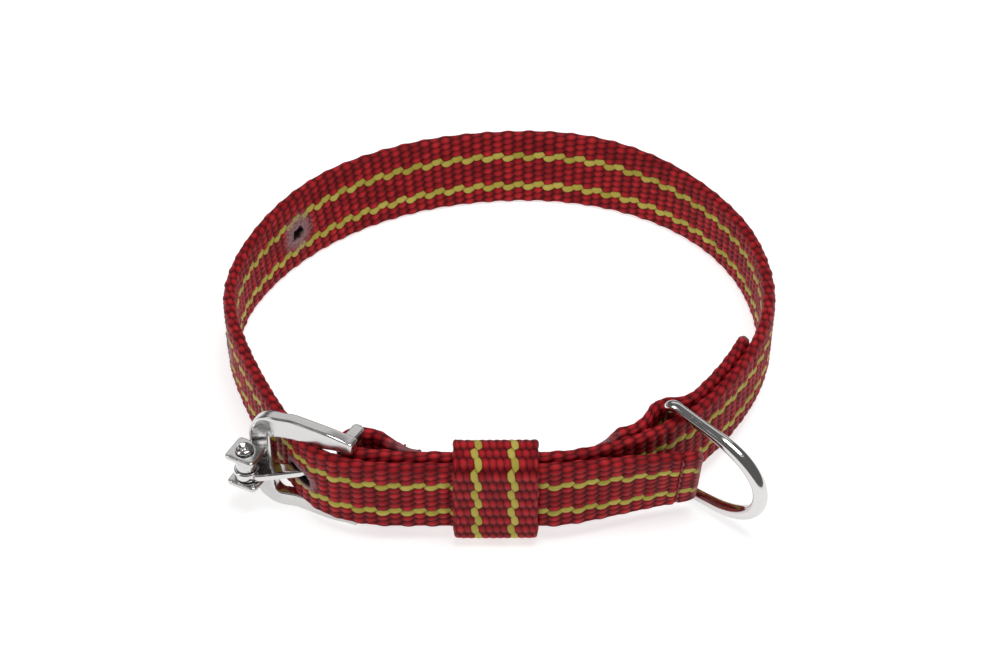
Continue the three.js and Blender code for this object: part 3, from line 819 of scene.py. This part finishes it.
THREAD_R = 0.27
STITCH = 2.3
STITCH_GAP = 0.24
STITCH_SLANT = 0.35
SIDES = 10
THREAD_DARK = (0.15, 0.006, 0.01)
THREAD_LIGHT = (0.5, 0.03, 0.04)
FRONT_SEAM_IN = 5.0  # from the patch's front end
SIDE_SEAM_PAST = 3.0  # past the ring's pocket
END_SEAM_IN = 4.0  # from the patch's other end
WRAP_SEAM_IN = 4.0  # from the strap's wrapped end


def skin(grid, ring):
    """Vertices and faces through rows of points. Each row closes on itself."""
    rows, columns = grid.shape[:2]
    index = np.arange(rows * columns).reshape(rows, columns)
    here = index if ring else index[:-1]
    ahead = np.roll(index, -1, 0) if ring else index[1:]
    quads = np.stack([here, ahead, np.roll(ahead, -1, 1), np.roll(here, -1, 1)], -1)
    faces = quads.reshape(-1, 4).tolist()
    if not ring:
        faces += [index[0].tolist(), index[-1][::-1].tolist()]
    return grid.reshape(-1, 3), faces


def piece(name, shapes, looks, sharp=40):
    """One object from several closed skins, in mm."""
    vertices = []
    faces = []
    for points, sides in shapes:
        start = len(vertices)
        vertices += points.tolist()
        faces += [[start + corner for corner in side] for side in sides]
    mesh = bpy.data.meshes.new(name)
    mesh.from_pydata(np.array(vertices) * MM, [], faces)
    edit = bmesh.new()
    edit.from_mesh(mesh)
    bmesh.ops.recalc_face_normals(edit, faces=edit.faces)
    edit.to_mesh(mesh)
    edit.free()
    mesh.shade_smooth()
    mesh.set_sharp_from_angle(angle=math.radians(sharp))
    mesh.materials.append(looks)
    made = bpy.data.objects.new(name, mesh)
    bpy.context.scene.collection.objects.link(made)
    return made


def tube(points, radii, sides=SIDES):
    """A round skin along points, with a radius at each."""
    ahead = np.gradient(points, axis=0)
    ahead = ahead / np.linalg.norm(ahead, axis=1)[:, None]
    helper = np.array([0.37, 0.61, 0.7])
    first = np.cross(ahead, helper)
    first = first / np.linalg.norm(first, axis=1)[:, None]
    second = np.cross(ahead, first)
    angle = np.linspace(0, 2 * math.pi, sides, endpoint=False)
    ring = first[:, None] * np.cos(angle)[:, None] + second[:, None] * np.sin(angle)[:, None]
    return skin(points[:, None] + ring * np.array(radii)[:, None, None], False)


def stitches(place, length, side, low, high):
    """A row of stitches up the webbing at a length along it, on one face."""
    count = round((high - low) / STITCH)
    shapes = []
    for number in range(count):
        start = low + (high - low) * number / count
        t = np.linspace(0, 1, 9)
        height = start + STITCH_GAP / 2 + (STITCH - STITCH_GAP) * t
        walk = length + STITCH_SLANT * (t - 0.5) + 0.05 * math.sin(7 * number)
        proud = side * (THICK / 2 - 0.35 + 0.42 * np.sin(math.pi * t) ** 0.7)
        lower, out, across = place(walk)
        points = lower + out * proud[:, None] + across * height[:, None]
        radii = THREAD_R * (0.55 + 0.45 * np.sin(math.pi * np.clip(t, 0.04, 0.96)) ** 0.5)
        shapes.append(tube(points, radii))
    return shapes


def thread_look(name):
    g = Graph(name)
    where = g.add("ShaderNodeTexCoord", None, None, 3)
    grain = g.add("ShaderNodeTexNoise", None, {"Vector": where, "Scale": 2500.0, "Detail": 3.0})
    twist = g.add("ShaderNodeTexWave", {"bands_direction": "DIAGONAL"}, {"Vector": where, "Scale": 900.0})
    colour = g.mix(grain * 0.6 + twist * 0.4, THREAD_DARK, THREAD_LIGHT)
    normal = g.add("ShaderNodeBump", None, {"Strength": 0.5, "Distance": 0.00005, "Height": twist})
    return g.finish({"Base Color": colour, "Roughness": 0.55 + 0.1 * grain, "Normal": normal,
                     "Sheen Weight": 0.15})


thread_material = thread_look("crimson_thread")
seams = (
    ("tail_backstitch", strap_place, TAIL_SEAM, 1, 1.2, 18.8),
    ("ring_seam_front", patch_place, ring_length + PATCH_BEFORE - FRONT_SEAM_IN, -1, 2, 18),
    ("ring_seam_side", patch_place, ring_length - PATCH_BULGE_HALF - SIDE_SEAM_PAST, -1, 2, 18),
    ("patch_end_seam", patch_place, ring_length - PATCH_AFTER + END_SEAM_IN, -1, 2, 18),
    ("buckle_seam", strap_place, strap_route.length - WRAP_SEAM_IN, 1, 2, 18),
)
for node, place, length, side, low, high in seams:
    row = piece(node + "_thread", stitches(place, length, side, low, high), thread_material)
    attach(row, "strap")
    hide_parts(node)


# ---------- buckle frame ----------
# One die-cast piece, tumbled and bright-plated: two arms, a toe bar, a round heel bar inside
# the strap's wrap, and two square plates outside the toe bar that carry the hinge pin.

ARM_TALL = 3.4
ARM_FULLER = 0.7
ARM_BOW = 1.1  # towards the strap
HEEL_BOW = 0.6
UPPER_SWELL = 0.8  # the upper arm is taller, upwards and downwards
UPPER_SAG = 1.1
TOE_FULLER = 0.9
DISH_X = 21.4
DISH_RUN = 2.4
ARM_IN = 4.4
ARM_OUT = 7.4
ARM_START = -1.4
TOE_IN = 19.8
TOE_OUT = 24.8
TOE_CORNER_R = 7.0
TOE_WINDOW_R = 2.0
WINDOW_LOW = -0.6
WINDOW_HIGH = WIDTH + 0.6
HEEL_BAR_R = 1.5
LUG_X = (20.9, 28.6)
LUG_Y = (6.8, 14.2)
LUG_THICK = 1.35
LUG_EASE = 0.42
LUG_SQUARE = 9  # the power that rounds the plate's corners
LUG_LOWS = (4.6, 13.0)
PIN_X, PIN_Y = 25.0, 10.5
PIN_BORE_R = 2.0
BOSS_LOW = 8.9
BOSS_R = 2.5


def buckle_place(points):
    """From the buckle's own axes (heel to toe, outwards, up) to the frame."""
    cos, sin = math.cos(BUCKLE_TURN), math.sin(BUCKLE_TURN)
    x = points[..., 0] * cos - points[..., 1] * sin
    y = points[..., 0] * sin + points[..., 1] * cos
    heel = hinge_at("buckle_hinge")
    return np.stack([x + heel[0], y + heel[1], points[..., 2] + FRONT_LIFT], -1)


def soft_box(half_a, half_b, power, count=36):
    """A rounded rectangle's points, as (a, b)."""
    angle = np.linspace(0, 2 * math.pi, count, endpoint=False) + math.pi / count
    a = np.sign(np.cos(angle)) * np.abs(np.cos(angle)) ** (2 / power) * half_a
    b = np.sign(np.sin(angle)) * np.abs(np.sin(angle)) ** (2 / power) * half_b
    return a, b


def frame_outline():
    """Pairs of points on the frame's outer and window edges, from the lower arm's end round."""
    window_low = WINDOW_LOW + ARM_FULLER
    toe_out = TOE_OUT + TOE_FULLER
    middle = WIDTH / 2
    corner_x = toe_out - TOE_CORNER_R
    corner_z = WINDOW_LOW - ARM_TALL + TOE_CORNER_R
    window_z = window_low + TOE_WINDOW_R
    pairs = []
    for x in np.linspace(ARM_START, corner_x, 26)[:-1]:
        pairs.append(((x, WINDOW_LOW - ARM_TALL), (x, window_low)))
    for turn in np.radians(np.linspace(-90, 0, 20)):
        outer = (corner_x + TOE_CORNER_R * math.cos(turn), corner_z + TOE_CORNER_R * math.sin(turn))
        window = (TOE_IN - TOE_WINDOW_R + TOE_WINDOW_R * math.cos(turn),
                  window_z + TOE_WINDOW_R * math.sin(turn))
        pairs.append((outer, window))
    for share in np.linspace(0, 1, 10)[1:]:
        pairs.append(((toe_out, corner_z + (middle - corner_z) * share),
                      (TOE_IN, window_z + (middle - window_z) * share)))
    lower = np.array(pairs)
    upper = lower[:-1][::-1].copy()
    upper[..., 1] = 2 * middle - upper[..., 1]
    return np.concatenate([lower, upper])


def arm_loop():
    pairs = frame_outline()
    outer, window = pairs[:, 0], pairs[:, 1]
    middle = (outer + window) / 2
    reach = (outer - window) / 2
    count = len(pairs)
    ends = np.minimum(np.arange(count), np.arange(count)[::-1])
    taper = 0.8 + 0.2 * smooth(ends / 9)
    mid_y = (ARM_IN + ARM_OUT) / 2
    half_y = (ARM_OUT - ARM_IN) / 2
    a, b = soft_box(1.0, 1.0, 7, 64)
    rows = []
    for (x, z), (dx, dz), size in zip(middle, reach, taper):
        dish = 0.5 * half_y * math.exp(-(((x - DISH_X) / DISH_RUN) ** 2))
        dish = dish * np.exp(-((a / 0.5) ** 2)) * (b > 0.9)
        bow = (ARM_BOW + HEEL_BOW * smooth((6 - x) / 7)) * smooth((19.5 - x) / 6)
        y = mid_y - bow + b * half_y * 1.05 - dish
        fuller = UPPER_SWELL * smooth((x + 2) / 8) * smooth((24 - x) / 6) * (z > WIDTH) * (a > 0)
        sag = UPPER_SAG * smooth((x - 3) / 7) * smooth((26 - x) / 4) * (z > WIDTH) * (a < 0)
        rows.append(np.stack([x + dx * a * size, y, z + dz * a * size + (fuller + sag) * a], -1))
    grid = np.array(rows)
    tips = []
    for end in (0, -1):
        centre = grid[end].mean(0)
        away = np.array([-1.0, 0, 0])
        tips.append([centre + (grid[end] - centre) * size + away * out
                     for size, out in ((0.93, 0.22), (0.75, 0.42), (0.4, 0.52))])
    first = np.array(tips[0][::-1])
    last = np.array(tips[1])
    return skin(buckle_place(np.concatenate([first, grid, last])), False)


def lathe(profile, x, y, sides=64):
    """An upright round skin from its radii and heights."""
    angle = np.linspace(0, 2 * math.pi, sides, endpoint=False)
    rows = [np.stack([x + r * np.cos(angle), y + r * np.sin(angle), np.full(sides, z)], -1)
            for r, z in profile]
    return skin(buckle_place(np.array(rows)), False)


def post(x, y, low, high, radius, round_end=0.3):
    """An upright round bar with rounded ends."""
    turns = np.linspace(0, math.pi / 2, 5)
    profile = [(radius - round_end + round_end * math.sin(t), low + round_end * (1 - math.cos(t)))
               for t in turns]
    profile += [(r, high + low - z) for r, z in profile[::-1]]
    return lathe(profile, x, y, 48)


def rounded_prism(corners, low, high, soften, corner_r):
    """An upright block with a polygon outline, its edges rounded."""
    shape = np.array(corners, float)
    count = len(shape)
    outline = []
    for number in range(count):
        here = shape[number]
        back = shape[number - 1] - here
        ahead = shape[(number + 1) % count] - here
        back = back / np.linalg.norm(back)
        ahead = ahead / np.linalg.norm(ahead)
        for t in np.linspace(0, 1, 6):
            start = here + back * corner_r
            finish = here + ahead * corner_r
            outline.append((1 - t) ** 2 * start + 2 * t * (1 - t) * here + t**2 * finish)
    outline = np.array(outline)
    tangent = np.roll(outline, -1, 0) - np.roll(outline, 1, 0)
    normal = np.stack([tangent[:, 1], -tangent[:, 0]], -1)
    normal = normal / np.linalg.norm(normal, axis=1)[:, None]
    walk = [(soften * (1 - math.cos(t)), low + soften * (1 - math.sin(t)))
            for t in np.linspace(math.pi / 2, 0, 5)]
    walk += [(inset, high + low - level) for inset, level in walk[::-1]]
    rows = [np.column_stack([outline - normal * inset, np.full(len(outline), level)])
            for inset, level in walk]
    return skin(buckle_place(np.array(rows)), False)


def pin_plate(low):
    """A square plate with rounded corners and the pin's bore."""
    high = low + LUG_THICK
    sides = 96
    angle = np.linspace(0, 2 * math.pi, sides, endpoint=False)
    cos, sin = np.cos(angle), np.sin(angle)
    mid_x, mid_y = sum(LUG_X) / 2, sum(LUG_Y) / 2
    half_x, half_y = (LUG_X[1] - LUG_X[0]) / 2, (LUG_Y[1] - LUG_Y[0]) / 2
    reach = np.abs(cos / half_x) ** LUG_SQUARE + np.abs(sin / half_y) ** LUG_SQUARE
    reach = reach ** (-1 / LUG_SQUARE)
    turns = np.linspace(0, math.pi / 2, 4)
    walk = [(reach - LUG_EASE * (1 - math.sin(t)), low + LUG_EASE * (1 - math.cos(t))) for t in turns]
    walk += [(reach - LUG_EASE * (1 - math.cos(t)), high - LUG_EASE * (1 - math.sin(t))) for t in turns]
    outer = [(mid_x + r * cos, mid_y + r * sin, np.full(sides, z)) for r, z in walk]
    bore = [(PIN_BORE_R + 0.2 * (1 - math.sin(t)), high - 0.2 * (1 - math.cos(t))) for t in turns]
    bore += [(PIN_BORE_R + 0.2 * (1 - math.cos(t)), low + 0.2 * (1 - math.sin(t))) for t in turns]
    inner = [(PIN_X + r * cos, PIN_Y + r * sin, np.full(sides, z)) for r, z in bore]
    rows = np.array([np.stack(row, -1) for row in outer + inner])
    return skin(buckle_place(rows), True)


def chrome_look(name, tone, rough):
    """Bright plating over a tumbled casting: faint swell and hairline wear."""
    g = Graph(name)
    where = g.add("ShaderNodeTexCoord", None, None, 3)
    swell = g.add("ShaderNodeTexNoise", None, {"Vector": where, "Scale": 160.0, "Detail": 2.0})
    haze = g.add("ShaderNodeTexNoise", None, {"Vector": where, "Scale": 900.0, "Detail": 5.0})
    stretched = g.add("ShaderNodeMapping", None, {"Vector": where, "Scale": (600.0, 5200.0, 5200.0)})
    hair = g.add("ShaderNodeTexNoise", None, {"Vector": stretched, "Scale": 1.0, "Detail": 2.0})
    worn = ((hair - 0.62) * 6).clamped()
    colour = g.mix(haze, tone, tuple(0.93 * part for part in tone))
    rough_map = rough + 0.05 * haze + 0.12 * worn
    normal = g.add("ShaderNodeBump", None, {"Strength": 0.25, "Distance": 0.0002, "Height": swell})
    return g.finish({"Base Color": colour, "Metallic": 1.0, "Roughness": rough_map, "Normal": normal})


casting = chrome_look("tumbled_plating", (0.66, 0.65, 0.643), 0.19)

# a lug at each end of the heel bar joins it to an arm
lug_outline = (
    (-HEEL_BAR_R, -0.9), (HEEL_BAR_R * 0.9, -HEEL_BAR_R), (1.6, ARM_IN - 1.8),
    (1.9, ARM_OUT - 2.9), (ARM_START + 0.1, ARM_OUT - 2.9),
)
frame_shapes = [arm_loop()]
frame_low = WINDOW_LOW - ARM_TALL
frame_high = WINDOW_HIGH + ARM_TALL
frame_shapes.append(post(0, 0, frame_low + 0.4, frame_high - 0.4, HEEL_BAR_R))
for low in (frame_low, WINDOW_HIGH):
    frame_shapes.append(rounded_prism(lug_outline, low + 0.35, low + ARM_TALL - 0.35, 0.4, 0.9))
for low in LUG_LOWS:
    frame_shapes.append(pin_plate(low))
frame_shapes.append(post(PIN_X, PIN_Y, BOSS_LOW, LUG_LOWS[1] + 0.1, BOSS_R))
buckle = piece("buckle_frame_cast", frame_shapes, casting)
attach(buckle, "buckle_frame")
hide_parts("buckle_frame")


# ---------- hinge pin ----------
# A plated steel rivet through the two plates, its upper end closed by a punch, which left
# a dimple with a small raised middle.

PIN_R = 1.7
PIN_HEAD_R = 2.2
PIN_PROUD = 0.3

plating = chrome_look("bright_plating", (0.7, 0.69, 0.685), 0.08)
pin_foot = LUG_LOWS[0] - PIN_PROUD
pin_top = LUG_LOWS[1] + LUG_THICK + PIN_PROUD
pin_profile = [
    (0.3, pin_foot - 0.8), (1.2, pin_foot - 0.75), (1.9, pin_foot - 0.45), (PIN_HEAD_R, pin_foot - 0.15),
    (PIN_HEAD_R, pin_foot), (PIN_R + 0.1, pin_foot + 0.02), (PIN_R, pin_foot + 0.15),
    (PIN_R, pin_top - 0.15), (PIN_R + 0.1, pin_top - 0.02), (PIN_HEAD_R, pin_top),
    (PIN_HEAD_R, pin_top + 0.15), (2.0, pin_top + 0.42), (1.6, pin_top + 0.62), (1.25, pin_top + 0.5),
    (0.95, pin_top + 0.25), (0.7, pin_top + 0.2), (0.45, pin_top + 0.42), (0.2, pin_top + 0.5),
]
pin = piece("hinge_pin_rivet", [lathe(pin_profile, PIN_X, PIN_Y)], plating)
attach(pin, "buckle_frame")
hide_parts("hinge_pin")


# ---------- tongue ----------
# A cast, plated prong: a round eye on the pin and a tapering shank that lies across the toe
# bar and through the strap's first hole.

EYE_R = 3.1
TONGUE_LOW = LUG_LOWS[0] + LUG_THICK + 0.3
TONGUE_THICK = 2.4
TONGUE_LENGTH = 15.9
TONGUE_RISE = 1.5  # the shank is bent up a little towards its tip
SHANK_FROM = 2.3
SHANK_SIDES = 44


def tongue_place(points):
    """From the tongue's own axes (along, sideways, up) to the frame."""
    cos, sin = math.cos(TONGUE_TURN), math.sin(TONGUE_TURN)
    x = PIN_X + points[..., 0] * cos - points[..., 1] * sin
    y = PIN_Y + points[..., 0] * sin + points[..., 1] * cos
    return buckle_place(np.stack([x, y, points[..., 2]], -1))


def tongue_shank():
    mid_z = TONGUE_LOW + TONGUE_THICK / 2
    rows = []
    for x in np.concatenate([np.linspace(SHANK_FROM, 14.6, 26), [15.0, 15.35, 15.6, 15.78, 15.87]]):
        t = (x - SHANK_FROM) / (TONGUE_LENGTH - SHANK_FROM)
        blunt = math.sqrt(max(1 - ((x - 14.4) / 1.5) ** 2, 0.02)) if x > 14.4 else 1.0
        wide = (2.8 - 1.5 * t) * blunt
        tall = (TONGUE_THICK / 2 - 0.25 * t) * blunt
        a, b = soft_box(wide, tall, 4.5, SHANK_SIDES)
        hollow = 0.35 * (b > 0) * (1 - (a / wide) ** 2) * (1 - t)
        height = mid_z + TONGUE_RISE * t**1.3 + b - hollow
        rows.append(np.stack([np.full(SHANK_SIDES, x), a, height], -1))
    return skin(tongue_place(np.array(rows)), False)


def tongue_eye():
    middle_r = (EYE_R + PIN_BORE_R) / 2
    a, b = soft_box((EYE_R - PIN_BORE_R) / 2, TONGUE_THICK / 2, 3.2, 24)
    rows = []
    for turn in np.linspace(0, 2 * math.pi, 56, endpoint=False):
        r = middle_r + a
        rows.append(np.stack([r * math.cos(turn), r * math.sin(turn),
                              TONGUE_LOW + TONGUE_THICK / 2 + b], -1))
    return skin(tongue_place(np.array(rows)), True)


tongue = piece("tongue_prong", [tongue_eye(), tongue_shank()], plating)
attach(tongue, "tongue")
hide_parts("tongue")


# ---------- D-ring ----------
# Thick steel wire bent to a D, butt-welded inside the patch, ground smooth and plated.
# The bow is a little fuller than the bar.

RING_TALL = 28.4
RING_REACH = 28.3
RING_CORNER_R = 3.0
RING_ROD_END = 15.0
RING_TAPER = 0.12
RING_SINK = 0.33
RING_TURN = math.radians(-43)
RING_FULLER = 0.3


def ring_line():
    """The wire's middle line, anticlockwise in the ring's plane: away from the bar, and up."""
    half = RING_TALL / 2 - RING_WIRE_R
    rod_end = half - RING_TAPER * RING_ROD_END
    bow = RING_REACH - RING_ROD_END
    t = np.linspace(0, 1, 13)[:-1, None]
    corner = [np.array(p) for p in ((0, half - RING_CORNER_R), (0, half),
                                    (RING_CORNER_R, half - RING_TAPER * RING_CORNER_R))]
    bend = (1 - t) ** 2 * corner[0] + 2 * t * (1 - t) * corner[1] + t**2 * corner[2]
    rod = corner[2] + t * (np.array((RING_ROD_END, rod_end)) - corner[2])
    knots = [np.array(p) for p in ((RING_ROD_END, rod_end),
                                   (RING_ROD_END + bow * 0.52, rod_end - RING_TAPER * bow * 0.52),
                                   (RING_REACH, rod_end * 0.58), (RING_REACH, 0))]
    t = np.linspace(0, 1, 33)[:, None]
    arc = (1 - t) ** 3 * knots[0] + 3 * t * (1 - t) ** 2 * knots[1]
    arc = arc + 3 * t**2 * (1 - t) * knots[2] + t**3 * knots[3]
    upper = np.concatenate([bend, rod, arc])
    lower = upper[:-1][::-1] * np.array([1, -1])
    bar = np.linspace((0, -half + RING_CORNER_R), (0, half - RING_CORNER_R), 12)[1:-1]
    return np.concatenate([upper, lower, bar])


def ring_wire():
    line = ring_line()
    ahead = np.roll(line, -1, 0) - np.roll(line, 1, 0)
    ahead = ahead / np.linalg.norm(ahead, axis=1)[:, None]
    outwards = np.stack([-ahead[:, 1], ahead[:, 0]], -1)
    fuller = smooth((line[:, 0] - 10) / 14)
    radius = RING_WIRE_R + RING_FULLER * fuller
    angle = np.linspace(0, 2 * math.pi, 32, endpoint=False)
    flat = line[:, None] + outwards[:, None] * (radius[:, None] * np.cos(angle))[..., None]
    side = radius[:, None] * np.sin(angle)
    bar = hinge_at("ring_swing")
    cos, sin = math.cos(RING_TURN), math.sin(RING_TURN)
    x = bar[0] + flat[..., 0] * cos - side * sin
    y = bar[1] + flat[..., 0] * sin + side * cos
    return skin(np.stack([x, y, flat[..., 1] + RING_TALL / 2 - RING_SINK], -1), True)


ring = piece("leash_ring", [ring_wire()], plating)
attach(ring, "d_ring")
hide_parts("d_ring")
